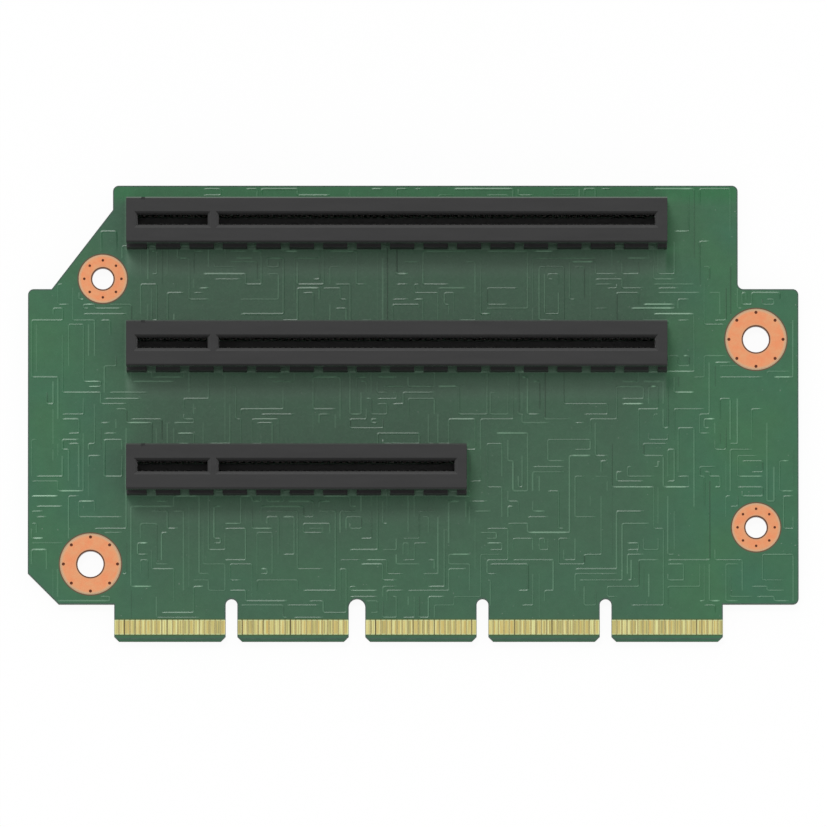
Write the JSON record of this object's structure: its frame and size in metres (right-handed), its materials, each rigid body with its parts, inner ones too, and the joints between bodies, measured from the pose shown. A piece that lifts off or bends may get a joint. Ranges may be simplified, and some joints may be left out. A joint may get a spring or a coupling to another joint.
{
  "type": "pcie riser card",
  "caption": "Server riser card: green circuit board with keyed card-edge slots, gold-fingered edge tongues and copper-ringed mounting holes.",
  "frame": {"origin": "under the middle of the card, level with the tips of the locating pegs that it rests on", "axes": "+Z out of the front face where the connectors stand, +Y away from the edge tongues, +X along the slots away from the key"},
  "size_m": [0.127, 0.0754, 0.0139],
  "materials": {
    "solder_mask": "green solder mask over glass-fibre laminate, satin",
    "bare_copper": "bare copper, satin",
    "finger_gold": "hard gold plating",
    "housing_plastic": "glass-filled moulding, matt black",
    "contact_alloy": "plated copper alloy"
  },
  "bodies": {
    "root": {"circuit_board": "solder_mask", "edge_fingers_1_back": "finger_gold", "edge_fingers_1_front": "finger_gold", "edge_fingers_2_back": "finger_gold", "edge_fingers_2_front": "finger_gold", "edge_fingers_3_back": "finger_gold", "edge_fingers_3_front": "finger_gold", "edge_fingers_4_back": "finger_gold", "edge_fingers_4_front": "finger_gold", "edge_fingers_5_back": "finger_gold", "edge_fingers_5_front": "finger_gold", "plated_ring_lower_left": "bare_copper", "plated_ring_lower_right": "bare_copper", "plated_ring_upper_left": "bare_copper", "plated_ring_upper_right": "bare_copper", "slot_contacts_lower_a": "contact_alloy", "slot_contacts_lower_b": "contact_alloy", "slot_contacts_middle_a": "contact_alloy", "slot_contacts_middle_b": "contact_alloy", "slot_contacts_upper_a": "contact_alloy", "slot_contacts_upper_b": "contact_alloy", "slot_housing_lower": "housing_plastic", "slot_housing_middle": "housing_plastic", "slot_housing_upper": "housing_plastic"}
  },
  "joints": []
}
